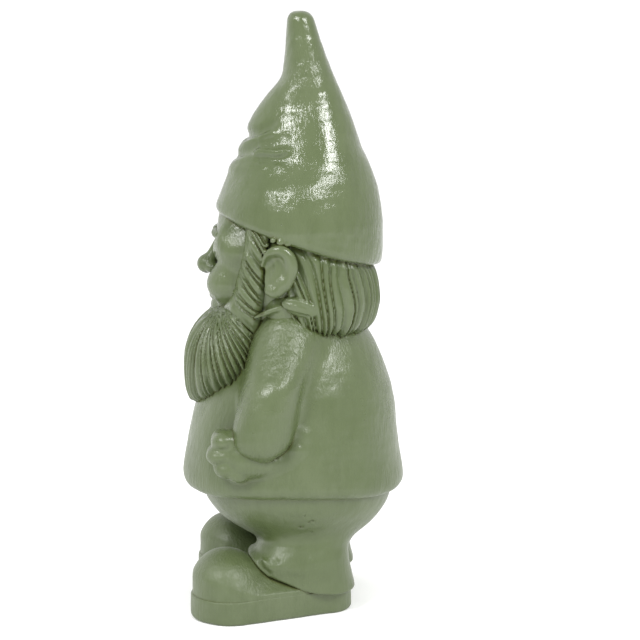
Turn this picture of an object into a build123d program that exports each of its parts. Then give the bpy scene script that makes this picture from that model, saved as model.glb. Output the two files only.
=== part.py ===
from build123d import *

import os

# A garden gnome, cast in sections that are bedded on each other and held by steel dowels.
#
# Millimetres. +Z is up, the face looks along -Y and the figure's left side is +X. The origin is on
# the ground under the middle of the figure.
#
# Most sections are lofted through level ellipses. A level is (height, front, back, half_width):
# front and back are the y of the ellipse's two ends, and half_width is its reach in x. A level of a
# limb is (height, front, back, inner, outer), the last two being the ellipse's ends in x.

# Joints between the sections
HAT_PLANE_HEIGHT = 218.7  # the brim's underside on the middle of the head
HAT_PLANE_TILT = -18.4  # degrees about X: the brim is higher in front
NECK_HEIGHT = 172.0  # the head stands on the tunic here
HEM_HEIGHT = 66.5  # the tunic's lowest height, in front and behind
HEM_RADIUS = 230.0  # the hem rises to both sides along an arch of this radius
SOLE_THICKNESS = 14.5
CUFF_SLOPE_END = (0.0, 14.0, SOLE_THICKNESS)  # the trouser cuff is level behind this point
CUFF_SLOPE = -30.0  # degrees about X: in front of that point it climbs over the instep

# Feet
TOE_CENTRE = (40.0, -35.5)
TOE_RADIUS = 25.0
HEEL_CENTRE = (25.0, 18.0)
HEEL_RADIUS = 17.0
WELT = 0.8  # the sole stands out this far round the shoe
INSTEP_HEIGHT = 30.0
INSTEP_INSET = 7.0

# Steel
DOWEL_RADIUS = 4.0
ROD_RADIUS = 3.0
DOWEL_Y = 4.0
HAT_DOWEL_ENDS = (192.0, 246.0)
NECK_DOWEL_ENDS = (146.0, 190.0)
WAIST_DOWEL_ENDS = (56.0, 98.0)
LEG_ROD_ENDS = (5.0, 62.0)
LEG_ROD_PLACE = (25.0, 8.0)
SHOULDER_DOWEL_ENDS = (34.0, 58.0)
SHOULDER_DOWEL_PLACE = (-8.0, 148.0)  # y and z

HAT_LEVELS = (
    (196.0, -42.0, 51.5, 48.0),
    (212.0, -44.0, 53.0, 49.5),
    (228.0, -45.0, 53.0, 49.5),
    (242.0, -43.5, 51.4, 47.5),
    (256.0, -37.6, 47.2, 42.5),
    (270.0, -31.5, 41.2, 36.5),
    (284.0, -26.2, 36.2, 31.0),
    (297.0, -19.2, 31.0, 25.0),
    (309.0, -8.6, 25.9, 18.0),
    (322.0, -4.8, 20.3, 13.0),
    (336.0, -3.9, 15.5, 9.8),
    (345.0, -3.0, 12.5, 7.6),
    (350.0, 1.6, 9.1, 3.8),
)

HEAD_LEVELS = (
    (NECK_HEIGHT, -43.0, 30.0, 34.0),
    (179.0, -48.0, 34.0, 38.0),
    (186.0, -46.5, 37.0, 40.5),
    (193.0, -49.5, 39.0, 41.5),
    (202.0, -45.0, 40.5, 42.0),
    (211.0, -43.0, 41.0, 42.5),
    (220.0, -45.5, 42.0, 42.5),
    (236.0, -42.0, 42.0, 41.5),
)

BEARD_LEVELS = (
    (120.5, -61.0, -46.0, 9.0),
    (128.0, -64.3, -38.0, 20.0),
    (138.0, -65.2, -30.0, 28.0),
    (150.0, -64.8, -22.0, 34.0),
    (160.0, -62.4, -16.0, 37.0),
    (168.0, -57.6, -14.0, 38.0),
    (176.0, -48.6, -16.0, 36.0),
)

HAIR_LEVELS = (
    (163.0, -20.0, 44.0, 38.0),
    (171.0, -26.0, 50.6, 45.0),
    (182.0, -30.0, 53.2, 48.0),
    (192.0, -30.0, 51.9, 47.5),
    (202.0, -30.0, 49.2, 46.0),
    (214.0, -30.0, 50.0, 45.0),
    (222.0, -30.0, 50.0, 44.5),
)

SIDEBURN_LEVELS = (
    (165.0, -40.0, -22.0, 26.0, 40.0),
    (174.0, -43.0, -18.5, 25.0, 43.5),
    (186.0, -41.0, -17.0, 27.0, 45.5),
    (198.0, -37.0, -16.0, 29.0, 46.5),
    (210.0, -35.0, -15.5, 30.0, 46.5),
    (226.0, -33.0, -19.0, 30.0, 44.0),
)

TUNIC_LEVELS = (
    (64.0, -62.0, 63.0, 61.5),
    (71.0, -64.6, 65.8, 64.0),
    (79.0, -66.1, 66.1, 64.5),
    (90.0, -64.6, 63.6, 63.0),
    (104.0, -61.8, 62.2, 60.5),
    (118.0, -58.4, 60.8, 57.5),
    (132.0, -53.0, 58.0, 54.5),
    (146.0, -46.0, 53.2, 51.0),
    (158.0, -39.0, 47.5, 47.0),
    (NECK_HEIGHT, -30.0, 38.0, 41.0),
)

SEAT_LEVELS = (
    (40.0, -22.0, 36.0, 36.0),
    (47.0, -36.0, 47.0, 44.0),
    (54.0, -45.5, 52.8, 50.5),
    (61.0, -51.0, 57.0, 55.5),
    (69.0, -55.0, 59.0, 58.5),
    (82.0, -57.0, 60.0, 60.0),
)

LEG_LEVELS = (
    (SOLE_THICKNESS, -24.0, 36.3, 4.5, 46.5),
    (22.0, -26.0, 36.0, 4.0, 46.5),
    (31.0, -26.5, 34.5, 4.0, 44.5),
    (40.0, -21.5, 34.0, 3.5, 42.5),
    (52.0, -26.0, 40.0, 3.0, 44.0),
)

SLEEVE_LEVELS = (
    (102.8, -23.0, -10.5, 55.0, 67.0),
    (107.0, -29.0, -4.0, 50.0, 72.5),
    (114.0, -32.4, 0.4, 45.0, 75.5),
    (128.0, -30.5, 4.0, 40.0, 73.0),
    (144.0, -26.5, 8.5, 33.0, 67.0),
    (158.0, -24.0, 13.5, 25.0, 60.0),
    (170.0, -20.0, 11.0, 18.0, 52.0),
    (178.5, -12.0, 3.0, 24.0, 42.0),
)

HAND_LEVELS = (
    (86.5, -36.0, -22.0, 50.0, 62.0),
    (92.0, -41.0, -12.0, 44.0, 67.0),
    (101.0, -42.5, -2.0, 44.0, 69.5),
    (110.0, -42.0, 5.5, 42.0, 68.5),
    (117.0, -36.0, 3.0, 42.0, 61.0),
)

NOSE_LEVELS = (
    (197.0, -53.5, -42.0, 2.5),
    (199.0, -55.6, -40.0, 4.8),
    (202.5, -56.5, -39.0, 5.7),
    (206.0, -55.4, -39.0, 4.8),
    (210.0, -50.5, -39.0, 4.0),
    (217.0, -47.5, -40.0, 2.6),
)

# A true ball: its centre and its radius
TOE_CAP = ((*TOE_CENTRE, 17.3), 24.2)

# Stretched balls: (centre, radii, degrees about X)
BROW = ((13.0, -42.5, 221.5), (9.5, 5.0, 3.2), 0.0)
EAR = ((42.0, -7.0, 204.5), (8.5, 9.0, 15.0), -12.0)

# Fingers fold over the front of the hip: (y and z of the knuckle, radius)
FINGERS = ((-40.6, 111.5, 6.2), (-41.6, 101.0, 6.4), (-36.5, 92.6, 5.8))
FINGER_ENDS = (44.0, 63.0)

HAT_PLANE = Plane(origin=(0, 0, HAT_PLANE_HEIGHT)).rotated((HAT_PLANE_TILT, 0, 0))
NECK_PLANE = Plane.XY.offset(NECK_HEIGHT)
HAIR_FRONT = Plane.XZ.offset(6.0)  # the back hair begins at y = -6, beside the ears
CUFF_PLANE = Plane(origin=CUFF_SLOPE_END).rotated((CUFF_SLOPE, 0, 0))


def loft_levels(levels):
    """Lofts the open part through level ellipses centred on x = 0."""
    loft_limb([(height, front, back, -half, half) for height, front, back, half in levels])


def loft_limb(levels):
    """Lofts the open part through level ellipses that stand off to one side."""
    sections = []
    for height, front, back, inner, outer in levels:
        with BuildSketch(Plane.XY.offset(height)) as section:
            with Locations(((inner + outer) / 2, (front + back) / 2)):
                Ellipse((outer - inner) / 2, (back - front) / 2)
        sections.append(section.sketch)
    loft(sections)


def add_ball(centre, radius):
    """Adds a true ball to the open part."""
    with Locations(centre):
        Sphere(radius)


def add_stretched_ball(centre, radii, tilt):
    """Adds a ball with three radii to the open part."""
    ball = scale(Sphere(1.0, mode=Mode.PRIVATE), by=radii, mode=Mode.PRIVATE)
    add(ball.rotate(Axis.X, tilt).move(Location(centre)))


def foot_outline(inset):
    """Draws the outline of the left foot, pear-shaped round the toe and the heel."""
    with Locations(TOE_CENTRE):
        Circle(TOE_RADIUS - inset)
    with Locations(HEEL_CENTRE):
        Circle(HEEL_RADIUS - inset)
    make_hull()


def cut(*neighbours):
    """Cuts finished neighbours out of the open part, so that they meet face to face."""
    for neighbour in neighbours:
        add(neighbour.part, mode=Mode.SUBTRACT)


def mirrored(left):
    """The right-hand twin of a left-hand piece."""
    with BuildPart() as right:
        mirror(left.part, about=Plane.YZ)
    return right


def upright(radius, x, y, ends):
    """A round bar standing at x and y between two heights."""
    with BuildPart() as bar:
        with Locations((x, y, ends[0])):
            Cylinder(radius, ends[1] - ends[0], align=(Align.CENTER, Align.CENTER, Align.MIN))
    return bar


# Steel dowels and rods
hat_dowel = upright(DOWEL_RADIUS, 0, DOWEL_Y, HAT_DOWEL_ENDS)
neck_dowel = upright(DOWEL_RADIUS, 0, DOWEL_Y, NECK_DOWEL_ENDS)
waist_dowel = upright(DOWEL_RADIUS, 0, DOWEL_Y, WAIST_DOWEL_ENDS)
left_leg_rod = upright(ROD_RADIUS, *LEG_ROD_PLACE, LEG_ROD_ENDS)
right_leg_rod = mirrored(left_leg_rod)

with BuildPart() as left_shoulder_dowel:
    with BuildSketch(Plane.YZ.offset(SHOULDER_DOWEL_ENDS[0])):
        with Locations(SHOULDER_DOWEL_PLACE):
            Circle(ROD_RADIUS)
    extrude(amount=SHOULDER_DOWEL_ENDS[1] - SHOULDER_DOWEL_ENDS[0])
right_shoulder_dowel = mirrored(left_shoulder_dowel)

# Hat and head, parted by the sloping plane of the brim
with BuildPart() as hat:
    loft_levels(HAT_LEVELS)
    split(bisect_by=HAT_PLANE, keep=Keep.TOP)
    cut(hat_dowel)

with BuildPart() as skull:
    loft_levels(HEAD_LEVELS)

with BuildPart() as head:
    add(skull.part)
    split(bisect_by=HAT_PLANE, keep=Keep.BOTTOM)
    split(bisect_by=NECK_PLANE, keep=Keep.TOP)
    cut(hat_dowel, neck_dowel)

with BuildPart() as nose:
    loft_levels(NOSE_LEVELS)
    cut(skull)

with BuildPart() as left_eyebrow:
    add_stretched_ball(*BROW)
    cut(skull)
    split(bisect_by=HAT_PLANE, keep=Keep.BOTTOM)
right_eyebrow = mirrored(left_eyebrow)

with BuildPart() as left_ear:
    add_stretched_ball(*EAR)
    cut(skull)
    split(bisect_by=HAT_PLANE, keep=Keep.BOTTOM)
right_ear = mirrored(left_ear)

# Tunic: an arch along Y lifts its hem at both sides
with BuildPart() as tunic:
    loft_levels(TUNIC_LEVELS)
    with Locations((0, 0, HEM_HEIGHT + HEM_RADIUS)):
        Cylinder(HEM_RADIUS, HEM_RADIUS, rotation=(90, 0, 0), mode=Mode.INTERSECT)
    cut(neck_dowel, waist_dowel, left_shoulder_dowel, right_shoulder_dowel)

with BuildPart() as left_sideburn:
    loft_limb(SIDEBURN_LEVELS)
    cut(skull)
    split(bisect_by=HAT_PLANE, keep=Keep.BOTTOM)
    cut(left_ear, tunic)
right_sideburn = mirrored(left_sideburn)

with BuildPart() as beard:
    loft_levels(BEARD_LEVELS)
    cut(skull, tunic, left_sideburn, right_sideburn)

with BuildPart() as back_hair:
    loft_levels(HAIR_LEVELS)
    cut(skull)
    split(bisect_by=HAT_PLANE, keep=Keep.BOTTOM)
    split(bisect_by=HAIR_FRONT, keep=Keep.BOTTOM)
    cut(tunic, neck_dowel, left_ear, right_ear)

with BuildPart() as left_sleeve:
    loft_limb(SLEEVE_LEVELS)
    cut(skull, tunic, left_shoulder_dowel, left_sideburn, beard, back_hair)
right_sleeve = mirrored(left_sleeve)

with BuildPart() as left_hand:
    loft_limb(HAND_LEVELS)
    for y, z, radius in FINGERS:
        with BuildSketch(Plane.YZ.offset(FINGER_ENDS[0])):
            with Locations((y, z)):
                Circle(radius)
        extrude(amount=FINGER_ENDS[1] - FINGER_ENDS[0])
        add_ball((FINGER_ENDS[1], y, z), radius)
    cut(tunic, left_sleeve)
right_hand = mirrored(left_hand)

# Trousers: a seat under the tunic and two legs, with cuffs that hang on the shoes
with BuildPart() as trouser_seat:
    loft_levels(SEAT_LEVELS)
    with Locations((0, 0, HEM_HEIGHT + HEM_RADIUS)):
        Cylinder(HEM_RADIUS, HEM_RADIUS, rotation=(90, 0, 0), mode=Mode.SUBTRACT)
    cut(waist_dowel, left_leg_rod, right_leg_rod)

with BuildPart() as left_trouser_leg:
    loft_limb(LEG_LEVELS)
    split(bisect_by=CUFF_PLANE, keep=Keep.TOP)
    cut(trouser_seat, left_leg_rod)
right_trouser_leg = mirrored(left_trouser_leg)

# Shoes: a domed toe cap and an instep on a flat sole
with BuildPart() as left_shoe:
    with BuildSketch(Plane.XY.offset(SOLE_THICKNESS)) as shoe_foot:
        foot_outline(WELT)
    with BuildSketch(Plane.XY.offset(INSTEP_HEIGHT)) as shoe_instep:
        foot_outline(INSTEP_INSET)
    loft([shoe_foot.sketch, shoe_instep.sketch])
    add_ball(*TOE_CAP)
    split(bisect_by=Plane.XY.offset(SOLE_THICKNESS), keep=Keep.TOP)
    cut(left_trouser_leg, left_leg_rod)
right_shoe = mirrored(left_shoe)

with BuildPart() as left_sole:
    with BuildSketch():
        foot_outline(0)
    extrude(amount=SOLE_THICKNESS)
    cut(left_leg_rod)
right_sole = mirrored(left_sole)

PIECES = {
    "hat": hat,
    "head": head,
    "nose": nose,
    "left_eyebrow": left_eyebrow,
    "right_eyebrow": right_eyebrow,
    "left_ear": left_ear,
    "right_ear": right_ear,
    "left_sideburn": left_sideburn,
    "right_sideburn": right_sideburn,
    "beard": beard,
    "back_hair": back_hair,
    "tunic": tunic,
    "left_sleeve": left_sleeve,
    "right_sleeve": right_sleeve,
    "left_hand": left_hand,
    "right_hand": right_hand,
    "trouser_seat": trouser_seat,
    "left_trouser_leg": left_trouser_leg,
    "right_trouser_leg": right_trouser_leg,
    "left_shoe": left_shoe,
    "right_shoe": right_shoe,
    "left_sole": left_sole,
    "right_sole": right_sole,
    "hat_dowel": hat_dowel,
    "neck_dowel": neck_dowel,
    "waist_dowel": waist_dowel,
    "left_leg_rod": left_leg_rod,
    "right_leg_rod": right_leg_rod,
    "left_shoulder_dowel": left_shoulder_dowel,
    "right_shoulder_dowel": right_shoulder_dowel,
}

os.makedirs("parts", exist_ok=True)
for piece_name, piece in PIECES.items():
    piece.part.label = piece_name
    export_step(piece.part, f"parts/{piece_name}.step")
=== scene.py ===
import math

import bpy
import numpy as np
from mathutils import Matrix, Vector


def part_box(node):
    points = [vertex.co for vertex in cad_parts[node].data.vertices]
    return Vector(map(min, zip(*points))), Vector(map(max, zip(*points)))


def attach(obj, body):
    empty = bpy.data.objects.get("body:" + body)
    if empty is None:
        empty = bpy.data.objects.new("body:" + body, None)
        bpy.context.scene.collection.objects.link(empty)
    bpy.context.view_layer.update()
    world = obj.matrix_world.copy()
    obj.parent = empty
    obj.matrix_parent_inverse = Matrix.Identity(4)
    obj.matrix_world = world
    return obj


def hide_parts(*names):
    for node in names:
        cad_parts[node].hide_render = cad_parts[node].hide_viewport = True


# A garden gnome, painted sage green. Every visible piece is sculpted as a field of signed distances
# on a block of voxels, and its surface is drawn as a mesh of quads. Lengths here are millimetres
# until a mesh is made. The gnome faces -Y and its left side is +X.

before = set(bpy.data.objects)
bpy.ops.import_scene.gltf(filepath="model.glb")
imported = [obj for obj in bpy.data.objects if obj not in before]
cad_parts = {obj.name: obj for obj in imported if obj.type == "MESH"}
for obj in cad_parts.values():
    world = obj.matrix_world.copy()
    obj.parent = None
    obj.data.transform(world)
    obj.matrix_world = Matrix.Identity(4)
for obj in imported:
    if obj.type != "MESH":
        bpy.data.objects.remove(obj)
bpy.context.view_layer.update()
MM = 0.001
STEP = 0.62  # voxel size of the pieces with fine relief
BROAD_STEP = 0.8  # voxel size of the large, smooth pieces
HALO = 4.0  # empty margin round a piece

HAT_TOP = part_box("hat")[1][2] / MM
RIM_HEIGHT = 218.7  # the brim's underside on the middle of the head
RIM_TILT = math.radians(18.4)  # it climbs towards the front
HEM_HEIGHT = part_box("tunic")[0][2] / MM
HEM_RADIUS = 230.0
SOLE_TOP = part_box("left_sole")[1][2] / MM


# ---------------------------------------------------------------- fields

class Block:
    """A box of voxels. With half=True it holds only x > 0, and its piece is mirrored later."""

    def __init__(self, low, high, step, half=False):
        low, high = np.array(low, float), np.array(high, float)
        self.step, self.half = step, half
        if half:
            low[0] = step / 2
        counts = np.ceil((high - low) / step).astype(int) + 1
        axes = [low[i] + step * np.arange(counts[i]) for i in range(3)]
        self.low = low
        self.x = axes[0][:, None, None].astype(np.float32)
        self.y = axes[1][None, :, None].astype(np.float32)
        self.z = axes[2][None, None, :].astype(np.float32)
        self.counts = counts

    def part(self, low, high):
        """Slices of the voxels inside a smaller box, or None when it misses the block."""
        start = np.floor((np.array(low) - self.low) / self.step).astype(int)
        stop = np.ceil((np.array(high) - self.low) / self.step).astype(int) + 1
        start, stop = np.maximum(start, 0), np.minimum(stop, self.counts)
        if np.any(stop <= start):
            return None
        return tuple(slice(a, b) for a, b in zip(start, stop))

    def coords(self, cut):
        return self.x[cut[0]], self.y[:, cut[1]], self.z[:, :, cut[2]]


def join(a, b, width):
    """Union of two fields with a fillet about as wide as stated."""
    blend = np.maximum(width - np.abs(a - b), 0.0) / width
    return np.minimum(a, b) - blend * blend * width / 4


def meet(a, b, width):
    """Intersection of two fields with a rounded edge."""
    return -join(-a, -b, width)


def profile(rows, heights, softness):
    """Columns of a table of levels at the given heights, smoothed along the height."""
    rows = np.array(rows, float)
    levels = np.arange(rows[0, 0] - 25, rows[-1, 0] + 25, 0.5)
    reach = max(int(softness * 8), 1)
    kernel = np.exp(-0.5 * (np.arange(-reach, reach + 1) * 0.5 / softness) ** 2)
    kernel /= kernel.sum()
    columns = []
    for column in rows.T[1:]:
        fine = np.interp(levels, rows[:, 0], column)
        below, above = levels < rows[0, 0], levels > rows[-1, 0]
        first = (column[1] - column[0]) / (rows[1, 0] - rows[0, 0])
        last = (column[-1] - column[-2]) / (rows[-1, 0] - rows[-2, 0])
        fine[below] = column[0] + first * (levels[below] - rows[0, 0])
        fine[above] = column[-1] + last * (levels[above] - rows[-1, 0])
        padded = np.pad(fine, reach, mode="edge")
        columns.append(np.interp(heights, levels, np.convolve(padded, kernel, "valid")))
    return columns


def stack(x, y, z, rows, power=2.0, softness=2.2):
    """Field of a stack of level ovals. A row is (height, front, back, half_width[, centre_x])."""
    columns = profile(rows, z, softness)
    front, back, half = columns[:3]
    middle = columns[3] if len(columns) > 3 else 0.0
    depth = np.maximum((back - front) / 2, 0.5)
    half = np.maximum(half, 0.5)
    u = np.abs((x - middle) / half) + 1e-4
    v = np.abs((y - (front + back) / 2) / depth) + 1e-4
    q = (u**power + v**power) ** (1 / power)
    slope = q ** (1 - power) * np.sqrt((u ** (power - 1) / half) ** 2 + (v ** (power - 1) / depth) ** 2)
    return ((q - 1) / slope).astype(np.float32)


def ball(x, y, z, centre, radii, turn=(0, 0, 0)):
    """Field of a ball with three radii, turned by degrees about X, Y and Z."""
    p = [x - centre[0], y - centre[1], z - centre[2]]
    for axis, angle in enumerate(turn):
        if angle:
            a, b = (axis + 1) % 3, (axis + 2) % 3
            c, s = math.cos(math.radians(angle)), math.sin(math.radians(angle))
            p[a], p[b] = c * p[a] + s * p[b], -s * p[a] + c * p[b]
    k0 = np.sqrt(sum((p[i] / radii[i]) ** 2 for i in range(3))) + 1e-6
    k1 = np.sqrt(sum((p[i] / radii[i] ** 2) ** 2 for i in range(3))) + 1e-9
    return k0 * (k0 - 1) / k1


def smooth_curve(points, count=10):
    """Points along a Catmull-Rom curve through the given ones."""
    points = np.array(points, float)
    if len(points) < 3:
        return np.array([points[0] + (points[-1] - points[0]) * t for t in np.linspace(0, 1, count)])
    ends = np.vstack([2 * points[0] - points[1], points, 2 * points[-1] - points[-2]])
    result = []
    for t in np.linspace(0, len(points) - 1, count):
        i = min(int(t), len(points) - 2)
        f = t - i
        a, b, c, d = ends[i : i + 4]
        bend = (2 * a - 5 * b + 4 * c - d) * f**2 + (3 * b - a - 3 * c + d) * f**3
        result.append(0.5 * (2 * b + (c - a) * f + bend))
    return np.array(result)


def tube_distance(x, y, z, curve, radii):
    """Distance to a tapering tube along a curve."""
    best = None
    for i in range(len(curve) - 1):
        a, b = curve[i], curve[i + 1]
        d = b - a
        length = max(float(d @ d), 1e-9)
        p = (x - a[0], y - a[1], z - a[2])
        t = np.clip((p[0] * d[0] + p[1] * d[1] + p[2] * d[2]) / length, 0, 1)
        r = radii[i] + (radii[i + 1] - radii[i]) * t
        gap = np.sqrt((p[0] - t * d[0]) ** 2 + (p[1] - t * d[1]) ** 2 + (p[2] - t * d[2]) ** 2) - r
        best = gap if best is None else np.minimum(best, gap)
    return best


class Clay:
    """A field on a block that is worked like clay, then turned into a mesh."""

    def __init__(self, low, high, step=STEP, half=False):
        self.block = Block(np.array(low) - HALO, np.array(high) + HALO, step, half)
        self.field = np.full(self.block.counts, 50.0, np.float32)

    @property
    def xyz(self):
        return self.block.x, self.block.y, self.block.z

    def keep(self, other, edge):
        """Keeps what lies inside another field, with a rounded edge."""
        self.field = meet(self.field, other, edge)

    def _near(self, curve, reach):
        return self.block.part(curve.min(0) - reach, curve.max(0) + reach)

    def add_ball(self, centre, radii, turn=(0, 0, 0), fillet=2.0):
        reach = max(radii) + fillet + 1.5
        cut = self._near(np.array([centre], float), reach)
        if cut:
            near = self.field[cut]
            self.field[cut] = join(near, ball(*self.block.coords(cut), centre, radii, turn), fillet)

    def cut_ball(self, centre, radii, turn=(0, 0, 0), edge=1.5):
        reach = max(radii) + edge + 1.5
        cut = self._near(np.array([centre], float), reach)
        if cut:
            near = self.field[cut]
            self.field[cut] = meet(near, -ball(*self.block.coords(cut), centre, radii, turn), edge)

    def add_tube(self, points, radii, fillet=0.8, count=10):
        """Adds a tapering tube along a smooth curve. radii is spread along it."""
        curve = smooth_curve(points, count)
        spread = np.interp(np.linspace(0, 1, count), np.linspace(0, 1, len(radii)), radii)
        cut = self._near(curve, max(radii) + fillet + 1.5)
        if cut:
            near = self.field[cut]
            self.field[cut] = join(near, tube_distance(*self.block.coords(cut), curve, spread), fillet)

    def press(self, points, width, depth):
        """Presses a groove along a smooth curve into the surface, or raises a ridge if depth < 0."""
        curve = smooth_curve(points)
        cut = self._near(curve, width * 2.6)
        if not cut:
            return
        distance = tube_distance(*self.block.coords(cut), curve, np.zeros(len(curve)))
        self.field[cut] += (depth * np.exp(-((distance / width) ** 2))).astype(np.float32)


def surface_net(field, low, step):
    """Vertices and quads of the surface where a field is zero, one vertex in each crossed cell."""
    inside = field < 0
    corners = [(i, j, k) for i in (0, 1) for j in (0, 1) for k in (0, 1)]
    n = np.array(field.shape) - 1
    total = np.zeros(n, np.int8)
    for i, j, k in corners:
        total += inside[i : n[0] + i, j : n[1] + j, k : n[2] + k]
    crossed = (total > 0) & (total < 8)
    cells = np.argwhere(crossed)
    names = np.full(n, -1, np.int32)
    names[crossed] = np.arange(len(cells))
    summed, count = np.zeros((len(cells), 3)), np.zeros(len(cells))
    for a in corners:
        for axis in range(3):
            if a[axis]:
                continue
            b = tuple(v + (1 if i == axis else 0) for i, v in enumerate(a))
            fa = field[tuple((cells + a).T)]
            fb = field[tuple((cells + b).T)]
            hit = (fa < 0) != (fb < 0)
            t = fa[hit] / (fa[hit] - fb[hit])
            point = np.repeat(np.array([a], float), hit.sum(), 0)
            point[:, axis] += t
            summed[hit] += point
            count[hit] += 1
    vertices = low + step * (cells + summed / count[:, None])
    quads = []
    for axis in range(3):
        u, v = (axis + 1) % 3, (axis + 2) % 3
        stop = [slice(None)] * 3
        start = [slice(None)] * 3
        stop[axis], start[axis] = slice(0, -1), slice(1, None)
        first, second = inside[tuple(stop)], inside[tuple(start)]
        for rising in (True, False):
            mask = (first & ~second) if rising else (~first & second)
            edges = np.argwhere(mask)
            good = (edges[:, u] > 0) & (edges[:, v] > 0) & (edges[:, u] < n[u]) & (edges[:, v] < n[v])
            edges = edges[good & (edges[:, axis] < n[axis])]
            eu, ev = np.zeros(3, int), np.zeros(3, int)
            eu[u], ev[v] = 1, 1
            ring = [edges - eu - ev, edges - ev, edges, edges - eu]
            if not rising:
                ring.reverse()
            quads.append(np.stack([names[tuple(c.T)] for c in ring], 1))
    return vertices, np.vstack(quads)


def sample(field, low, step, points):
    """Field values at points, by trilinear interpolation."""
    p = np.clip((points - low) / step, 0, np.array(field.shape) - 1.001)
    i = p.astype(int)
    f = p - i
    value = 0.0
    for a in (0, 1):
        for b in (0, 1):
            for c in (0, 1):
                weight = (
                    (f[:, 0] if a else 1 - f[:, 0])
                    * (f[:, 1] if b else 1 - f[:, 1])
                    * (f[:, 2] if c else 1 - f[:, 2])
                )
                value = value + weight * field[i[:, 0] + a, i[:, 1] + b, i[:, 2] + c]
    return value


def gradient(field, low, step, points, reach=0.5):
    result = np.empty_like(points)
    for axis in range(3):
        shift = np.zeros(3)
        shift[axis] = step * reach
        result[:, axis] = sample(field, low, step, points + shift)
        result[:, axis] -= sample(field, low, step, points - shift)
    return result / (2 * step * reach)


def wobble(points, wavelength, seed, waves=9):
    """Smooth unevenness between about -1 and 1."""
    rng = np.random.default_rng(seed)
    value = np.zeros(len(points))
    for _ in range(waves):
        direction = rng.normal(size=3)
        direction *= 2 * math.pi / (wavelength * rng.uniform(0.6, 1.5) * np.linalg.norm(direction))
        value += np.sin(points @ direction + rng.uniform(0, 2 * math.pi))
    return value / math.sqrt(waves)


def make_mesh(name, vertices, faces, recess, material):
    mesh = bpy.data.meshes.new(name)
    mesh.vertices.add(len(vertices))
    mesh.vertices.foreach_set("co", (vertices * MM).ravel())
    mesh.loops.add(faces.size)
    mesh.loops.foreach_set("vertex_index", faces.ravel())
    mesh.polygons.add(len(faces))
    mesh.polygons.foreach_set("loop_start", np.arange(0, faces.size, 4))
    mesh.update(calc_edges=True)
    mesh.validate()
    mesh.polygons.foreach_set("use_smooth", np.ones(len(mesh.polygons), bool))
    layer = mesh.attributes.new("recess", "FLOAT", "POINT")
    layer.data.foreach_set("value", recess.astype(np.float32))
    mesh.materials.append(material)
    piece = bpy.data.objects.new(name, mesh)
    bpy.context.collection.objects.link(piece)
    return piece


def drop_islands(vertices, faces, recess):
    """Keeps only the largest connected shell."""
    label = np.arange(len(vertices))
    pairs = np.vstack([faces[:, [0, 1]], faces[:, [1, 2]], faces[:, [2, 3]], faces[:, [3, 0]]])
    for _ in range(400):
        low = np.minimum(label[pairs[:, 0]], label[pairs[:, 1]])
        before = label.copy()
        np.minimum.at(label, pairs[:, 0], low)
        np.minimum.at(label, pairs[:, 1], low)
        label = label[label]
        if np.array_equal(before, label):
            break
    names, sizes = np.unique(label, return_counts=True)
    keep = label == names[sizes.argmax()]
    index = np.cumsum(keep) - 1
    faces = index[faces[keep[faces].all(1)]]
    return vertices[keep], faces, recess[keep]


CLAYS = {}  # node name without its side, and its clay


def nearest_solid(points):
    """Smallest field value of any piece at points."""
    points = np.column_stack([np.abs(points[:, 0]), points[:, 1:]])
    result = np.full(len(points), HALO)
    for clay in CLAYS.values():
        low = clay.block.low
        high = low + clay.block.step * (clay.block.counts - 1)
        inside = ((points >= low) & (points <= high)).all(1)
        if inside.any():
            values = sample(clay.field, low, clay.block.step, points[inside])
            result[inside] = np.minimum(result[inside], values)
    return result


def fire(clay, node, material, uneven):
    """Turns clay into finished pieces that stand for the CAD node, or for its left and right twins."""
    block, field = clay.block, clay.field
    low = block.low.copy()
    if block.half:
        field = np.concatenate([field[::-1], field])
        low[0] = -low[0] - block.step * (block.counts[0] - 1)
    vertices, faces = surface_net(field, low, block.step)
    for _ in range(2):
        slope = gradient(field, low, block.step, vertices)
        size = np.maximum((slope**2).sum(1), 0.05)
        move = slope * (sample(field, low, block.step, vertices) / size)[:, None]
        vertices = vertices - np.clip(move, -0.5 * block.step, 0.5 * block.step)
    normal = gradient(field, low, block.step, vertices)
    normal /= np.linalg.norm(normal, axis=1)[:, None] + 1e-9
    # how enclosed each point of the surface is, kept for the paint to darken recesses as painted shade
    hollow = np.zeros(len(vertices))
    for reach in (0.9, 1.8, 2.8):
        hollow += np.clip(1 - nearest_solid(vertices + normal * reach) / reach, -1, 1) / 3
    lumps = wobble(vertices, 24.0, 3) + 0.3 * wobble(vertices, 7.0, 4)
    vertices += normal * (uneven * lumps)[:, None]
    vertices[:, 2] = np.maximum(vertices[:, 2], 0.0)
    vertices, faces, hollow = drop_islands(vertices, faces, hollow)
    side = "" if block.half else "left_"
    piece = make_mesh(f"gnome_{side}{node}", vertices, faces, hollow, material)
    stand_for(piece, f"{side}{node}")
    if not block.half:
        mesh = piece.data.copy()
        vertices[:, 0] *= -1
        mesh.vertices.foreach_set("co", (vertices * MM).ravel())
        mesh.flip_normals()
        twin = bpy.data.objects.new(f"gnome_right_{node}", mesh)
        bpy.context.collection.objects.link(twin)
        stand_for(twin, f"right_{node}")


def stand_for(piece, node):
    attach(piece, "root")
    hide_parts(node)


def rim_plane(y, z):
    """Height above the sloping underside of the brim."""
    return math.sin(RIM_TILT) * y + math.cos(RIM_TILT) * (z - RIM_HEIGHT)


# ---------------------------------------------------------------- material

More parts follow.
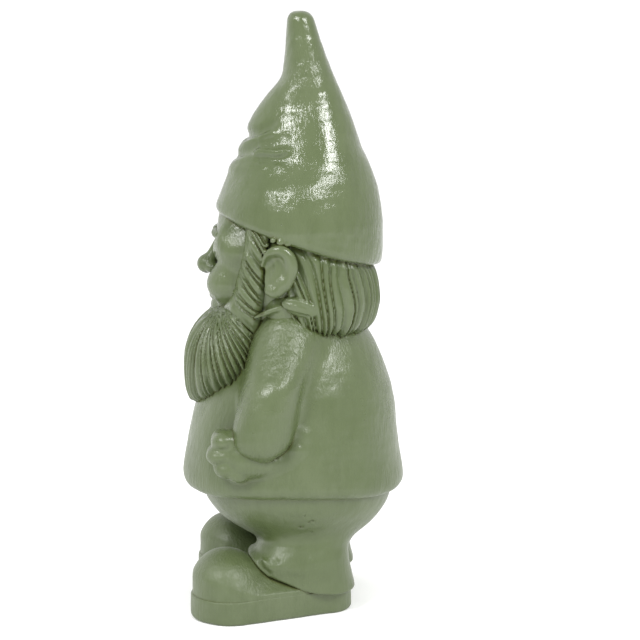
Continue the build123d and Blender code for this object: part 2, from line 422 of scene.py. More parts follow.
def painted_casting():
    """Sage green paint brushed over a cast surface, thick and glossy, with painted shade darkening its recesses
    and pinholes.
    """
    material = bpy.data.materials.new("painted_casting")
    material.use_nodes = True
    nodes, links = material.node_tree.nodes, material.node_tree.links
    shader = nodes["Principled BSDF"]

    def node(kind, **settings):
        made = nodes.new(kind)
        for key, value in settings.items():
            setattr(made, key, value)
        return made

    def noise(scale, detail, rough, stretch=(1, 1, 1), turn=(0, 0, 0)):
        mapping = node("ShaderNodeMapping")
        mapping.inputs["Scale"].default_value = stretch
        mapping.inputs["Rotation"].default_value = turn
        links.new(place.outputs["Object"], mapping.inputs["Vector"])
        texture = node("ShaderNodeTexNoise")
        texture.inputs["Scale"].default_value = scale
        texture.inputs["Detail"].default_value = detail
        texture.inputs["Roughness"].default_value = rough
        links.new(mapping.outputs["Vector"], texture.inputs["Vector"])
        return texture.outputs["Fac"]

    def ramp(source, stops):
        made = node("ShaderNodeValToRGB")
        elements = made.color_ramp.elements
        while len(elements) < len(stops):
            elements.new(0.5)
        for element, (position, colour) in zip(elements, stops):
            element.position = position
            element.color = colour if isinstance(colour, tuple) else (colour, colour, colour, 1)
        links.new(source, made.inputs["Fac"])
        return made.outputs["Color"]

    def mix(factor, a, b, blend="MIX"):
        made = node("ShaderNodeMix", data_type="RGBA", blend_type=blend)
        for value, socket in ((factor, 0), (a, 6), (b, 7)):
            if isinstance(value, (int, float, tuple)):
                made.inputs[socket].default_value = value
            else:
                links.new(value, made.inputs[socket])
        return made.outputs[2]

    def maths(operation, a, b):
        made = node("ShaderNodeMath", operation=operation)
        for index, value in enumerate((a, b)):
            if isinstance(value, (int, float)):
                made.inputs[index].default_value = value
            else:
                links.new(value, made.inputs[index])
        return made.outputs[0]

    place = node("ShaderNodeTexCoord")
    recess = node("ShaderNodeAttribute", attribute_name="recess")

    green = (0.074, 0.1005, 0.037, 1)
    light = (0.089, 0.115, 0.050, 1)
    deep = (0.062, 0.086, 0.028, 1)
    painted_recess_shade = (0.068, 0.080, 0.020, 1)
    painted_deep_shade = (0.022, 0.026, 0.009, 1)
    colour = mix(ramp(noise(28, 3, 0.55), [(0.35, 0.0), (0.65, 1.0)]), green, light)
    colour = mix(ramp(noise(90, 5, 0.65, (1, 1, 0.4)), [(0.45, 0.0), (0.75, 0.8)]), colour, deep)
    # painted shade: the more enclosed the surface, the more it turns olive and then near black
    colour = mix(ramp(recess.outputs["Fac"], [(0.25, 0.0), (0.70, 0.8)]), colour, painted_recess_shade)
    colour = mix(ramp(recess.outputs["Fac"], [(0.70, 0.0), (1.0, 0.6)]), colour, painted_deep_shade)

    # pinholes in the casting, each painted near black as painted shade inside the hole, and also dented by the
    # bump
    pores = node("ShaderNodeTexVoronoi")
    pores.inputs["Scale"].default_value = 75
    links.new(place.outputs["Object"], pores.inputs["Vector"])
    chosen = ramp(noise(60, 2, 0.5), [(0.60, 0.0), (0.63, 1.0)])
    pore = maths("MULTIPLY", ramp(pores.outputs["Distance"], [(0.035, 1.0), (0.075, 0.0)]), chosen)
    colour = mix(pore, colour, painted_deep_shade)
    links.new(colour, shader.inputs["Base Color"])

    # the gloss is best kept on the hat and has weathered away towards the feet
    level = node("ShaderNodeSeparateXYZ")
    links.new(place.outputs["Object"], level.inputs["Vector"])
    rise = maths("MULTIPLY", level.outputs["Z"], 1 / (HAT_TOP * MM))
    worn = ramp(rise, [(0.10, 0.24), (0.28, 0.19), (0.52, 0.07), (0.68, 0.0)])
    worn = maths("ADD", worn, ramp(noise(22, 3, 0.6), [(0.45, 0.0), (0.70, 0.06)]))
    rough = ramp(noise(60, 4, 0.6), [(0.3, 0.09), (0.7, 0.17)])
    links.new(maths("ADD", rough, worn), shader.inputs["Roughness"])
    shader.inputs["IOR"].default_value = 1.55

    strokes = noise(760, 4, 0.6, (1, 0.9, 0.12), (0.5, 0.2, 0.0))
    crossed = noise(700, 4, 0.6, (0.9, 0.9, 0.15), (-0.35, 0.1, 0.3))
    pebble = noise(190, 3, 0.5)
    patchy = ramp(noise(34, 2, 0.5), [(0.40, 0.35), (0.62, 1.0)])
    height = maths("ADD", maths("MULTIPLY", strokes, 0.72), maths("MULTIPLY", crossed, 0.55))
    height = maths("MULTIPLY", height, patchy)
    height = maths("ADD", height, maths("MULTIPLY", pebble, 0.34))
    height = maths("SUBTRACT", height, maths("MULTIPLY", pore, 1.5))
    bump = node("ShaderNodeBump")
    bump.inputs["Strength"].default_value = 0.60
    bump.inputs["Distance"].default_value = 0.00100
    links.new(height, bump.inputs["Height"])
    links.new(bump.outputs["Normal"], shader.inputs["Normal"])
    return material


PAINT = painted_casting()

# ---------------------------------------------------------------- levels of the main forms

HAT_ROWS = (
    (198, -46.0, 51.5, 48.5), (212, -46.5, 53.2, 50.0), (228, -46.5, 53.2, 50.0), (238, -45.2, 52.0, 48.3),
    (248, -41.0, 50.0, 45.0), (252, -39.2, 48.7, 43.0), (257, -36.8, 46.6, 39.8), (261, -35.4, 45.0, 36.9),
    (265, -34.2, 43.3, 34.4), (271, -30.2, 40.3, 31.6), (277, -27.4, 38.4, 29.1), (284, -26.2, 36.2, 26.3),
    (290, -23.2, 34.0, 23.8), (296, -19.4, 31.4, 21.0), (303, -14.0, 28.5, 19.2), (308, -9.0, 26.2, 17.8),
    (313, -6.0, 24.1, 16.3), (322, -4.8, 20.2, 13.9), (336, -3.8, 15.4, 11.0), (345, -3.0, 12.5, 9.2),
    (356, -2.0, 8.5, 6.4),
)
SKULL_ROWS = (
    (166, -40.0, 30.0, 33.0), (178, -45.5, 34.0, 37.5), (186, -45.0, 37.0, 40.5), (196, -43.5, 39.5, 42.0),
    (206, -43.0, 41.0, 42.5), (214, -44.8, 42.0, 42.5), (222, -45.0, 42.0, 42.5), (240, -42.0, 42.0, 41.5),
)
BEARD_ROWS = (
    (118, -60.0, -46.0, 7.0), (122, -62.2, -40.0, 16.0), (128, -64.0, -32.0, 27.0), (137, -64.6, -17.0, 38.0),
    (144, -64.6, -10.0, 43.0), (152, -64.0, -8.0, 43.0), (160, -61.6, -8.0, 41.0), (168, -57.0, -10.0, 38.5),
    (176, -48.0, -13.0, 35.0),
)
HAIR_ROWS = (
    (160, -16.0, 40.0, 34.0), (165, -20.0, 44.5, 38.5), (171, -24.0, 48.6, 43.5), (182, -28.0, 51.0, 46.0),
    (192, -28.0, 49.8, 45.5), (202, -28.0, 47.0, 44.4), (214, -28.0, 47.6, 44.0), (224, -28.0, 47.6, 44.0),
)
TUNIC_ROWS = (
    (60, -62.6, 63.6, 62.6), (71, -65.2, 66.2, 64.8), (79, -66.3, 65.8, 64.6), (90, -64.6, 63.7, 63.0),
    (104, -61.8, 62.2, 60.5), (118, -58.6, 60.9, 57.5), (132, -53.5, 58.1, 54.6), (146, -46.5, 53.2, 48.8),
    (158, -39.5, 47.6, 42.6), (168, -33.0, 41.0, 37.4), (177, -27.0, 33.0, 33.0), (186, -22.0, 26.0, 26.0),
)
SEAT_ROWS = (
    (34, -15.0, 33.0, 30.0), (40, -23.5, 36.4, 36.0), (47, -36.5, 46.8, 43.5), (54, -45.8, 52.8, 50.5),
    (61, -51.2, 57.0, 55.5), (69, -55.0, 59.2, 58.6), (82, -57.0, 60.0, 60.0),
)
# A limb's row also has the x of its centre
SLEEVE_ROWS = (
    (99, -25.0, -10.0, 7.0, 61.0), (101.5, -30.5, -5.5, 10.5, 61.0), (105, -33.4, -2.2, 13.0, 61.0),
    (110, -34.6, 0.6, 15.0, 60.0), (118, -33.6, 2.8, 18.2, 57.0), (128, -31.6, 4.6, 20.8, 53.6),
    (136, -29.6, 6.8, 22.6, 50.0), (140, -28.6, 8.0, 23.2, 48.2), (144, -27.2, 9.4, 23.0, 46.2),
    (150, -25.8, 11.6, 20.8, 43.4), (158, -24.2, 14.0, 17.6, 40.2), (168, -20.0, 14.0, 14.0, 36.4),
    (176, -15.0, 8.0, 12.0, 33.0), (184, -8.0, 1.0, 6.0, 30.0),
)
LEG_ROWS = (
    (8, -24.0, 35.6, 20.6, 26.0), (13, -24.5, 36.0, 21.4, 26.0), (18, -25.0, 35.8, 21.8, 26.0),
    (24, -27.4, 34.6, 22.4, 26.4), (29, -29.2, 33.4, 23.0, 26.8), (32.5, -29.0, 33.0, 23.0, 26.6),
    (34.8, -26.6, 32.8, 22.6, 26.4), (36.5, -22.6, 32.6, 22.2, 26.0), (40, -20.8, 32.6, 21.4, 25.2),
    (43, -17.6, 32.8, 20.8, 24.8), (47, -16.2, 33.0, 20.0, 24.0), (58, -18.0, 34.0, 18.0, 22.0),
)


def hat_form(x, y, z):
    """The hat without its folds. Above the brim its widest place lies towards the back."""
    front, back = profile(HAT_ROWS, z, 1.8)[:2]
    middle, depth = (front + back) / 2, (back - front) / 2
    v = np.clip((y - middle) / depth, -1, 1)
    skew = np.interp(z, (250, 266, 294, 312), (0, 0.17, 0.17, 0)).astype(np.float32)
    power = np.interp(z, (256, 274), (1.9, 2.1)).astype(np.float32)
    return stack(x, y - depth * skew * (1 - v * v), z, HAT_ROWS, power, softness=1.8)


def sculpt_hat():
    clay = Clay((0, -48, 196), (52, 56, HAT_TOP), BROAD_STEP, half=True)
    x, y, z = clay.xyz
    clay.field = hat_form(x, y, z)
    # the upper fold and the roll beneath it
    clay.press([(0, -27.8, 277), (10.8, -24.6, 279.3), (16.7, -19.6, 281.8), (20.6, -12, 287)], 2.8, 2.6)
    clay.press([(0, -30, 271), (10.2, -26.2, 275), (17, -20.8, 278.6), (23.5, -11.3, 281.5)], 2.6, -1.4)
    # the second fold, the ledge beside it and the hollow under the ledge
    clay.press([(0, -34, 266), (6.1, -32.2, 266.9), (14.3, -26.7, 270.4), (19.2, -21.9, 272.6)], 2.5, 2.0)
    clay.press([(21, -21, 270.6), (26, -15.4, 271), (29.1, -9.1, 270.9), (30.6, -3.5, 271.8)], 2.4, -2.4)
    clay.press([(24.5, -20, 266.4), (28.8, -13.7, 266.4), (31.4, -7.0, 266.6)], 2.0, 1.3)
    clay.press([(27.4, -2.2, 279), (30.1, -2.8, 272.2), (33.6, -3.9, 265.2)], 1.5, 0.7)
    clay.press([(33.0, -9.2, 263.6), (34.0, -6.6, 262.8)], 2.0, -1.0)
    clay.press([(0, -37, 259), (14.3, -32.5, 260.2), (22.2, -26.5, 262.0), (29, -17.1, 263.6)], 3.2, -1.0)
    clay.cut_ball((21.3, -2.9, 293.2), (0.9, 0.9, 1.2), edge=0.4)
    clay.keep(z - HAT_TOP + 0.3, 6.0)
    clay.keep(-rim_plane(y, z), 5.0)
    # paint and plaster that gathered on the edge over the ear
    for y0, z0, size in ((-10.6, 222.8, 1.5), (-6.5, 221.6, 1.9), (-2.6, 220.6, 1.3)):
        clay.add_ball((48.4, y0, z0), (1.6, size, size), fillet=1.4)
    return clay


def sculpt_head():
    clay = Clay((0, -58, 164), (46, 44, 236), STEP, half=True)
    x, y, z = clay.xyz
    clay.field = stack(x, y, z, SKULL_ROWS)
    clay.add_ball((15.0, -32.6, 217.0), (14.0, 12.4, 13.0), fillet=5.0)  # brow
    clay.add_ball((13.2, -40.6, 212.6), (8.2, 5.8, 6.6), fillet=1.6)  # closed eye
    clay.add_ball((20.5, -30.3, 216.3), (14.0, 13.6, 14.0), fillet=4.0)  # temple
    clay.add_tube([(17.5, -35.0, 195), (18.6, -32.4, 205), (19.8, -30.6, 214)], (11.0, 10.6, 10.8), 4.0)
    clay.add_ball((17.0, -37.0, 193.0), (12.6, 12.9, 11.4), fillet=5.0)  # cheek
    clay.add_ball((0.0, -41.5, 177.8), (10.5, 7.2, 6.2), fillet=3.0)  # chin
    clay.add_ball((0.0, -41.0, 187.5), (12.0, 7.0, 6.5), fillet=3.0)  # mouth
    # a flat on the temple, facing up and a little forward
    clay.keep(0.845 * (x - 30.7) - 0.225 * (y + 33.5) + 0.485 * (z - 221.5), 4.0)
    clay.press([(5, -45.0, 206), (10, -45.5, 205), (15, -44, 204.5)], 1.8, 0.6)
    clay.press([(6, -44.5, 211.2), (13, -46.6, 209.2), (20, -43.8, 211.2)], 0.9, 1.3)
    clay.press([(5.5, -45.0, 216.0), (13, -46.0, 218.6), (20.5, -43.6, 216.4)], 0.9, 0.9)
    clay.press([(7, -44.5, 206.2), (13, -45.5, 205.0), (19, -42.5, 206.4)], 1.1, 0.7)
    clay.add_tube([(0, -48.0, 188.2), (5, -47.4, 188.0), (10, -44.2, 186.9)], (1.9, 1.8, 1.0), 1.0)
    clay.add_tube([(0, -47.4, 183.7), (5, -46.6, 184.0), (9, -44.2, 185.4)], (2.1, 1.9, 1.0), 1.0)
    clay.press([(0, -49.6, 186.1), (5, -48.8, 186.1), (11, -44.6, 186.4)], 0.8, 1.2)
    clay.keep(rim_plane(y, z) - 3.0, 0.6)
    return clay


def sculpt_nose():
    clay = Clay((0, -58, 192), (9, -38, 220), STEP, half=True)
    clay.add_tube([(0, -42.5, 217), (0, -46.0, 210), (0, -49.0, 204)], (3.0, 3.4, 4.2), 1.0)
    clay.add_ball((0, -50.8, 202.2), (5.7, 5.7, 5.7), fillet=2.0)
    clay.add_ball((4.6, -47.6, 200.6), (3.2, 3.8, 3.2), fillet=1.6)
    clay.cut_ball((2.8, -50.2, 196.6), (1.3, 1.9, 1.3), edge=1.0)
    return clay


def sculpt_eyebrow():
    clay = Clay((0, -50, 214), (24, -36, 230), STEP)
    for x, y in ((3.5, -45.2), (6.5, -45.5), (9.5, -45.4), (12.5, -45.0), (15.5, -44.2), (18.5, -43.0)):
        curl = [(x - 1, y + 1.6, 219.8), (x + 0.8, y, 221.8), (x + 2.8, y + 1.2, 223.4)]
        clay.add_tube(curl, (1.2, 2.2, 1.1), 0.7)
    return clay


def sculpt_ear():
    clay = Clay((36, -22, 184), (54, 6, 222), STEP)
    clay.add_ball((43.2, -7.6, 203.8), (5.6, 7.6, 14.4), (-13, 0, 8), fillet=1.0)
    clay.add_ball((40.4, -8.6, 207.0), (6.6, 6.6, 13.6), fillet=1.5)  # its root
    helix = [
        (45.5, -16.2, 208), (47.2, -13, 214.6), (48.4, -7, 217.2), (48.9, -1.6, 213.5), (48.6, 0, 206),
        (47.6, -3.4, 197.5),
    ]
    clay.add_tube(helix, (1.6, 2.6, 3.2, 3.5, 3.6, 3.4), 3.5, 18)
    clay.add_tube([(47.6, -4.5, 198), (47.2, -9, 193.4), (46.4, -12.4, 193.6)], (3.4, 4.0, 3.0), 3.0)
    clay.cut_ball((51.2, -13.4, 205.0), (6.6, 4.0, 8.8), (-12, 0, 22), edge=2.2)
    clay.cut_ball((48.6, -12.6, 207.5), (3.4, 2.6, 4.2), (-12, 0, 10), edge=1.2)
    return clay


def ridges(phase, sharpness):
    """A row of rounded locks with sharp valleys between them: 1 on a crest, 0 in a valley."""
    return np.abs(np.sin(math.pi * phase)) ** sharpness


def shaken(phase, amount, seed):
    """Makes the locks of a row unequal in width."""
    rng = np.random.default_rng(seed)
    for _ in range(4):
        phase = phase + amount * np.sin(phase * rng.uniform(1.2, 3.2) + rng.uniform(0, 6.3)) / 4
    return phase


def bearing_of(x, y, centre):
    """Degrees round the upright line x = 0, y = centre: 0 in front, 90 at the left side."""
    return np.degrees(np.arctan2(x, -(y - centre)))


def sculpt_sideburn():
    clay = Clay((0, -48, 160), (54, -8, 230), STEP)
    x, y, z = clay.xyz
    heights, left = (163, 173, 180, 187, 198, 215, 226), (-36, -42, -40, -36.6, -32, -28.0, -26)
    right = (-19, -18, -17, -16.2, -15.4, -14.4, -12.0)
    a, b = np.interp(z, heights, left), np.interp(z, heights, right)
    s = np.clip((y - a) / (b - a), -0.3, 1.3)
    across = np.clip(s, 0, 1)
    drop = 21.0 * across - 4.5 * across**2
    phase = shaken((z + drop + 1.2 * np.sin(across * 5 + z * 0.21)) / 5.4, 0.5, 61)
    inside = np.clip(np.minimum(s + 0.02, 1.02 - s) * 4.5, -1, 1)
    band = np.sign(inside) * np.abs(inside) ** 0.5
    thick = np.interp(z, (163, 172, 200, 226), (4.6, 4.6, 3.4, 2.6))
    ends = np.clip((across - 0.5) * 2, 0, 1)
    locks = ridges(phase, 0.95) + 0.28 * ridges(2 * phase + 0.35 + across, 0.9)
    lift = band * (thick + (2.2 + 0.5 * ends) * locks) - 1.2
    clay.field = (stack(x, y, z, SKULL_ROWS) - lift).astype(np.float32)
    clay.keep(18.0 - x, 3.0)
    clay.keep(162.5 - z, 3.0)
    clay.keep(rim_plane(y, z) - 1.0, 0.6)
    # curls at the back edge, above and below the ear
    curls = (
        (-14.0, 219.5, 1.5), (-15.0, 215.6, 1.9), (-15.8, 211.0, 1.4), (-17.4, 184.5, 1.4), (-18.6, 179.5, 1.6),
    )
    for y0, z0, size in curls:
        clay.add_ball((44.3, y0, z0), (1.9, size, size * 0.8), (25, 0, 0), fillet=1.4)
    clay.cut_ball((44.5, -16.0, 188.0), (2.4, 0.9, 1.1), edge=0.5)
    return clay


def sculpt_beard():
    clay = Clay((0, -70, 114), (48, -10, 186), STEP, half=True)
    x, y, z = clay.xyz
    field = stack(x, y, z, BEARD_ROWS)
    bearing = bearing_of(x, y, -28.0)
    climb = np.clip((z - 120) / 59.0, 0, 1)
    gather = np.clip((bearing - 6) / 36, 0, 1)
    spread = bearing + (bearing - 52.0) * (1 / (1 - 0.74 * climb**2.2) - 1) * gather**2 * (3 - 2 * gather)
    sway = 2.5 * np.sin(z * 0.11 + bearing * 0.03)
    phase = shaken((spread + sway) / 6.6, 0.5, 71)
    crest = ridges(phase, 0.9)
    clumps = ridges((spread + sway) / 24.0 + 0.3, 0.8)
    deep = 1 + 0.9 * np.clip((bearing - 60) / 30, 0, 1) * np.clip((168 - z) / 20, 0, 1)
    depth = np.interp(z, (118, 130, 172, 182), (1.3, 2.3, 2.2, 1.0))
    cuts = depth * deep * (1 - crest) + 1.2 * deep * (1 - clumps) * np.clip((178 - z) / 10, 0, 1)
    clay.field = (field - 0.5 + cuts).astype(np.float32)
    clay.keep(120.3 + 2.2 * (1 - crest) - z, 2.0)
    clay.keep(z - 181, 4)
    clay.keep(y + 14.0, 2.0)
    return clay


def sculpt_back_hair():
    clay = Clay((0, -10, 158), (56, 58, 226), STEP, half=True)
    x, y, z = clay.xyz
    field = stack(x, y, z, HAIR_ROWS)
    bearing = bearing_of(x, y, 10.0)
    slant = np.interp(bearing, (72, 88, 99, 108), (0.85, 0.60, 0.18, 0.0)) * (z - 200)
    sway = 2.4 * np.sin((222 - z) * 0.115 + 0.05 * bearing) * np.clip((bearing - 92) / 20, 0.25, 1)
    phase = shaken((bearing + slant + sway) / 7.2, 0.4, 81)
    crest = ridges(phase, 0.95)
    depth = np.interp(z, (160, 172, 214, 222), (3.0, 2.7, 2.2, 1.8))
    clumps = 1 - ridges((bearing + slant + sway) / 23.0 + 0.2, 0.8)
    under_brim = 1.8 * np.exp(-((rim_plane(y, z) / 2.4) ** 2))
    clay.field = (field - 1.5 + depth * (1 - crest) + 1.1 * clumps + under_brim).astype(np.float32)
    clay.keep(163.4 + 0.07 * np.maximum(28 - y, 0) ** 1.3 + 3.4 * (1 - crest) + 2.0 * clumps - z, 4.0)
    clay.keep(-3.0 - y, 2.5)
    # a leaf-shaped lock where the hair meets the shoulder
    clay.add_ball((44.2, 4.6, 183.8), (4.6, 11.0, 5.2), (-17, 0, 0), fillet=0.8)
    clay.press([(46.8, -5.5, 187.6), (48.8, 2.0, 186.6), (47.2, 12.5, 182.2)], 1.1, 2.0)
    clay.press([(47.0, -5.0, 184.6), (48.9, 3.0, 183.4), (47.0, 12.0, 180.6)], 1.0, 1.9)
    clay.press([(46.5, -4.0, 181.8), (48.0, 3.0, 180.4), (46.5, 9.0, 179.0)], 1.0, 1.7)
    clay.cut_ball((47.0, -6.8, 181.8), (2.4, 1.0, 1.4), edge=0.5)
    clay.keep(rim_plane(y, z) - 2.0, 0.6)
    return clay


def hem_arch(x, y, z):
    """Depth below the hem, which arches up to both sides and a little to the front and back."""
    rise = np.where(y < 0, 3.5, 2.5) * (np.abs(y) / 62) ** 4
    return np.sqrt(x * x + (z - rise - HEM_HEIGHT - HEM_RADIUS) ** 2) - HEM_RADIUS


def sculpt_tunic():
    clay = Clay((0, -68, 62), (68, 70, 188), BROAD_STEP, half=True)
    x, y, z = clay.xyz
    clay.field = stack(x, y, z, TUNIC_ROWS)
    clay.keep(hem_arch(x, y, z), 6.0)
    clay.keep(z - 180, 3)
    # the shoulder runs up into the neck under the ear
    clay.add_ball((32.0, -4.0, 179.5), (12.0, 12.0, 9.6), (8, 0, 0), fillet=6.0)
    clay.add_ball((33.0, -6.5, 184.0), (9.0, 8.0, 7.4), fillet=5.0)
    collar = [(39.5, -21, 177.0), (42.0, -15, 180.0), (43.4, -9.0, 182.6), (43, -4, 184.0)]
    clay.add_tube(collar, (1.0, 1.7, 1.4, 0.8), 2.2)
    clay.press([(44, -12, 186.5), (44, -6, 188.0)], 1.0, 0.7)
    clay.press([(43, 0, 186.5), (43, 4, 184.0)], 1.0, 0.8)
    clay.press([(64.5, -17.0, 73.5), (64.8, -16.5, 77)], 1.2, 0.5)
    return clay


def sculpt_sleeve():
    clay = Clay((22, -38, 96), (80, 24, 190), STEP)
    x, y, z = clay.xyz
    arm = stack(x, y, z, SLEEVE_ROWS, softness=1.8)
    arm = meet(arm, z - 182, 6)
    body = stack(x, y, z, TUNIC_ROWS)
    width = np.interp(z, (106, 122, 140, 158, 174), (1.5, 3.5, 6.0, 9.0, 15.0))
    behind = np.interp(z, (106, 122, 140, 158, 174), (1.5, 5.5, 8.5, 10.0, 15.0))
    width = (width + (behind - width) * np.clip((y + 10) / 14, 0, 1)).astype(np.float32)
    clay.field = np.maximum(join(arm, body, width) + 0.06, arm - width * 0.9)
    clay.keep(27.0 - x, 1.0)
    clay.press([(73, -3.5, 116), (74, -2.5, 111), (72, -4.5, 107)], 0.8, 0.6)
    clay.press([(73.5, -7.0, 112), (73, -6.5, 108.5)], 0.7, 0.4)
    clay.cut_ball((66.5, 7.0, 158.5), (0.8, 0.8, 1.2), edge=0.3)
    clay.cut_ball((66.0, 7.8, 155.5), (0.7, 0.6, 0.8), edge=0.3)
    return clay


def sculpt_hand():
    clay = Clay((40, -54, 80), (78, 16, 126), STEP)
    x, y, z = clay.xyz
    clay.add_ball((58.5, -30.0, 102.5), (9.5, 13.5, 14.0), (0, 0, -12), fillet=1.0)
    clay.add_tube([(60, -28, 97), (58.8, -16, 95.5), (57, -2, 97)], (9.6, 7.0, 4.5), 5.0)
    # the folded fingers, from the first knuckle to the last
    fingers = (
        (-39.0, 109.5, 6.2, 10), (-41.6, 101.0, 6.3, 0), (-37.6, 92.8, 5.8, -20), (-31.5, 89.6, 4.8, -30),
    )
    for y0, z0, radius, turn in fingers:
        clay.add_ball((60.4, y0, z0), (8.0, radius + 1.2, radius * 0.94), (turn, 0, 0), fillet=2.4)
        clay.add_ball((53.5, y0 - 1.6, z0), (8.0, radius - 0.4, radius * 0.85), (turn, 0, 0), fillet=2.4)
    clay.press([(68, -45, 105.6), (69, -39, 104.8), (69, -33, 106)], 1.2, 1.0)
    clay.press([(68, -45.5, 97.2), (69.5, -39, 97.4), (69, -34, 95.5)], 1.2, 1.0)
    clay.press([(69, -37.5, 90.0), (69, -34, 92)], 1.1, 0.7)
    clay.press([(66, -33, 117), (68, -28, 112), (69, -26, 105)], 2.4, 0.6)
    # knuckles of the wrist that show behind the elbow
    clay.add_ball((54.4, 1.5, 114.0), (5.0, 4.4, 5.4), fillet=4.0)
    clay.add_ball((54.8, 7.0, 111.0), (4.2, 3.6, 4.6), fillet=3.0)
    clay.add_ball((56.4, 2.5, 103.4), (5.4, 5.6, 4.4), fillet=4.0)
    clay.press([(61, 4.6, 116), (61, 4.8, 108)], 1.0, 0.7)
    body = stack(x, y, z, TUNIC_ROWS)
    clay.field = np.maximum(join(clay.field, body, 3.6) + 0.06, clay.field - 3.2)
    return clay


def lower_body(x, y, z):
    """The seat of the trousers running into the left leg."""
    return join(stack(x, y, z, SEAT_ROWS), stack(x, y, z, LEG_ROWS, power=2.5, softness=1.4), 9.0)


def sculpt_seat():
    clay = Clay((0, -62, 34), (62, 66, 82), BROAD_STEP, half=True)
    x, y, z = clay.xyz
    clay.field = lower_body(x, y, z)
    clay.keep(z - 78, 1)
    clay.keep(41.0 - z, 0.4)
    pits = ((54.6, 11.6, 60.2, 0.9), (54.2, 9.8, 59.4, 0.7), (52.0, 5.2, 56.0, 0.8), (47.4, -5.0, 51.0, 0.8))
    for x0, y0, z0, size in pits:
        clay.cut_ball((x0, y0, z0), (1.8, size * 1.3, size), edge=0.3)
    # runs of paint under the hem
    for bearing, reach in ((88, 3.0), (92, 4.0), (97, 2.6)):
        turn = math.radians(bearing)
        x0, y0 = 57.0 * math.sin(turn), 3 - 57.0 * math.cos(turn)
        clay.press([(x0, y0, 67.5), (x0, y0, 67.5 - reach)], 0.8, -0.7)
    return clay


CUFF_Y = (-30, -24, -15, -8.5, -3, 5.5, 15, 23.5, 36)
CUFF_Z = (36.5, 33.0, 25.0, 22.4, 20.4, 16.4, 13.8, 12.8, 13.2)


def sculpt_leg():
    clay = Clay((0, -34, 8), (54, 44, 60), STEP)
    x, y, z = clay.xyz
    edge = np.interp(y, CUFF_Y, CUFF_Z).astype(np.float32)
    above = np.clip((z - edge) / 9.0, 0, 1)
    clay.field = lower_body(x, y, z) + 0.06 - 1.2 * (1 - above) ** 2
    clay.press([(34, -20, 48), (42, -17.5, 45), (46, -14.0, 40), (48.5, -9.0, 34)], 1.2, 1.4)
    clay.press([(30, -24, 42.0), (40, -22.5, 41), (46, -17.5, 35), (48, -12, 30)], 1.3, -1.4)
    clay.press([(30, -27, 38.5), (40, -25.5, 38), (46, -20.5, 32.5), (48.5, -14, 27)], 1.0, 1.7)
    clay.press([(46, -14, 31), (48.5, -4, 31), (48.5, 5, 28)], 2.2, -0.6)
    clay.keep((edge - z) * 0.9, 1.8)
    clay.keep(z - 54, 1)
    return clay


def foot(x, y):
    """Field of the foot's outline, round the toe and the heel, seen from above."""
    toe, heel = np.array((40.0, -35.5)), np.array((25.0, 18.0))
    axis = heel - toe
    t = np.clip(((x - toe[0]) * axis[0] + (y - toe[1]) * axis[1]) / (axis @ axis), 0, 1)
    return np.sqrt((x - toe[0] - t * axis[0]) ** 2 + (y - toe[1] - t * axis[1]) ** 2) - 25.0 + 8.0 * t


def welt(y):
    """How far the shoe is set back from the sole: plain at the toe, gone along the side."""
    return np.interp(y, (-45, -28, -14, 10, 24), (1.0, 0.8, -0.12, -0.12, 0.4)).astype(np.float32)


def sculpt_shoe():
    clay = Clay((6, -64, 8), (68, 40, 46), STEP)
    x, y, z = clay.xyz
    wall = foot(x, y) + 0.5 + welt(y) + 0.16 * np.maximum(14.2 - z, 0)
    top = np.interp(y, (-36, -20, -5, 20), (32, 29, 24, 19)).astype(np.float32)
    lean = np.interp(y, (-40, -26, -14, 10), (0.5, 0.75, 1.2, 1.5)).astype(np.float32)
    clay.field = meet(wall + lean * np.maximum(z - 16.5, 0), z - top, 8.0)
    clay.add_ball((39.4, -39.4, 17.2), (23.6, 21.0, 22.0), fillet=8.0)
    clay.keep(wall, 1.0)
    clay.keep(SOLE_TOP - 3 - z, 0.5)
    return clay


def sculpt_sole():
    clay = Clay((4, -64, 0), (68, 40, 18), STEP)
    x, y, z = clay.xyz
    clay.field = foot(x, y) + 0.5 + 0 * z
    clay.keep(z - SOLE_TOP, np.maximum(0.3 + 1.9 * welt(y), 0.1))
    clay.keep(-z, 2.4)
    clay.press([(60, -17, 13), (59.5, -18.5, 2)], 0.8, -0.4)
    return clay


CLAYS["hat"] = sculpt_hat()
CLAYS["head"] = sculpt_head()
CLAYS["nose"] = sculpt_nose()
CLAYS["eyebrow"] = sculpt_eyebrow()
CLAYS["ear"] = sculpt_ear()
CLAYS["sideburn"] = sculpt_sideburn()
CLAYS["beard"] = sculpt_beard()
CLAYS["back_hair"] = sculpt_back_hair()
CLAYS["tunic"] = sculpt_tunic()
CLAYS["sleeve"] = sculpt_sleeve()
CLAYS["hand"] = sculpt_hand()
CLAYS["trouser_seat"] = sculpt_seat()
CLAYS["trouser_leg"] = sculpt_leg()
CLAYS["shoe"] = sculpt_shoe()
CLAYS["sole"] = sculpt_sole()
FINE = ("head", "nose", "eyebrow", "ear", "sideburn", "beard", "back_hair")
for node, clay in CLAYS.items():
    fire(clay, node, PAINT, 0.05 if node in FINE else 0.16)


# ---------------------------------------------------------------- studio

def drawn_steel():
    material = bpy.data.materials.new("drawn_steel")
    material.use_nodes = True
    nodes, links = material.node_tree.nodes, material.node_tree.links
    shader = nodes["Principled BSDF"]
    shader.inputs["Metallic"].default_value = 1.0
    place = nodes.new("ShaderNodeTexCoord")
    grain = nodes.new("ShaderNodeTexNoise")
    grain.inputs["Scale"].default_value = 900
    links.new(place.outputs["Object"], grain.inputs["Vector"])
    tone = nodes.new("ShaderNodeValToRGB")
    tone.color_ramp.elements[0].color = (0.32, 0.32, 0.33, 1)
    tone.color_ramp.elements[1].color = (0.50, 0.50, 0.51, 1)
    links.new(grain.outputs["Fac"], tone.inputs["Fac"])
    links.new(tone.outputs["Color"], shader.inputs["Base Color"])
    shader.inputs["Roughness"].default_value = 0.35
    return material


STEEL = drawn_steel()
for name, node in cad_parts.items():
    if "dowel" in name or "rod" in name:
        node.data.materials.clear()
        node.data.materials.append(STEEL)


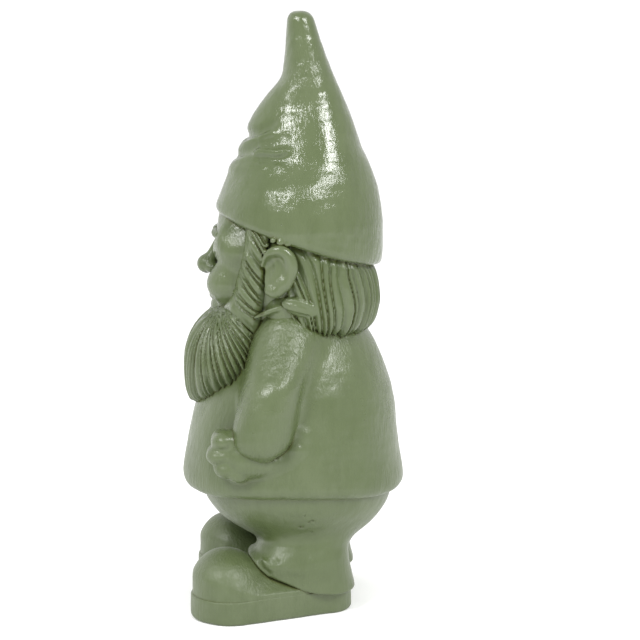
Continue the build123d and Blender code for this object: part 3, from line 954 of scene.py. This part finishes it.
def make_floor():
    material = bpy.data.materials.new("pale_floor")
    material.use_nodes = True
    shader = material.node_tree.nodes["Principled BSDF"]
    shader.inputs["Base Color"].default_value = (0.98, 0.98, 0.98, 1)
    shader.inputs["Roughness"].default_value = 0.9
    shader.inputs["Specular IOR Level"].default_value = 0.1
    shader.inputs["Emission Color"].default_value = (1, 1, 1, 1)
    shader.inputs["Emission Strength"].default_value = 0.07
    reach = 40.0
    corners = [(-reach, -reach, 0), (reach, -reach, 0), (reach, reach, 0), (-reach, reach, 0)]
    mesh = bpy.data.meshes.new("studio_floor")
    mesh.from_pydata(corners, [], [(0, 1, 2, 3)])
    mesh.materials.append(material)
    floor = bpy.data.objects.new("studio_floor", mesh)
    bpy.context.collection.objects.link(floor)


def make_light(name, place, target, size, power):
    data = bpy.data.lights.new(name, "AREA")
    data.shape = "RECTANGLE"
    data.size, data.size_y = size
    data.energy = power
    light = bpy.data.objects.new(name, data)
    light.location = place
    direction = Vector(target) - Vector(place)
    light.rotation_euler = direction.to_track_quat("-Z", "Y").to_euler()
    bpy.context.collection.objects.link(light)


def make_studio():
    make_floor()
    world = bpy.data.worlds.new("white_studio")
    world.use_nodes = True
    background = world.node_tree.nodes["Background"]
    background.inputs["Color"].default_value = (1, 1, 1, 1)
    background.inputs["Strength"].default_value = 1.03
    bpy.context.scene.world = world
    aim, distance, climb, height = (0, 0, 0.2), 1.9, math.radians(40), 0.46
    make_light("fill", (-1.0, -2.0, 0.6), aim, (2.8, 2.0), 8.0)
    # two upright softboxes above the camera, one on either side of it
    softboxes = (("softbox_front", -37, 0.38, 16.5), ("softbox_back", 44, 0.46, 18.0))
    for name, bearing, width, power in softboxes:
        bearing = math.radians(bearing)
        place = (
            distance * math.cos(climb) * math.cos(bearing),
            distance * math.cos(climb) * math.sin(bearing),
            aim[2] + distance * math.sin(climb),
        )
        make_light(name, place, aim, (width, height), power)


def make_camera():
    """The camera stands at the gnome's left side, a little above its hat, and looks slightly down."""
    tilt = math.radians(10.47)
    data = bpy.data.cameras.new("camera")
    data.sensor_width = 36.0
    data.lens = 115.8
    camera = bpy.data.objects.new("camera", data)
    camera.location = (1.200, 0.016, 0.390)
    camera.rotation_euler = (math.pi / 2 - tilt, 0, math.pi / 2)
    bpy.context.collection.objects.link(camera)
    bpy.context.scene.camera = camera


make_studio()
make_camera()
bpy.context.scene.view_settings.view_transform = "Standard"
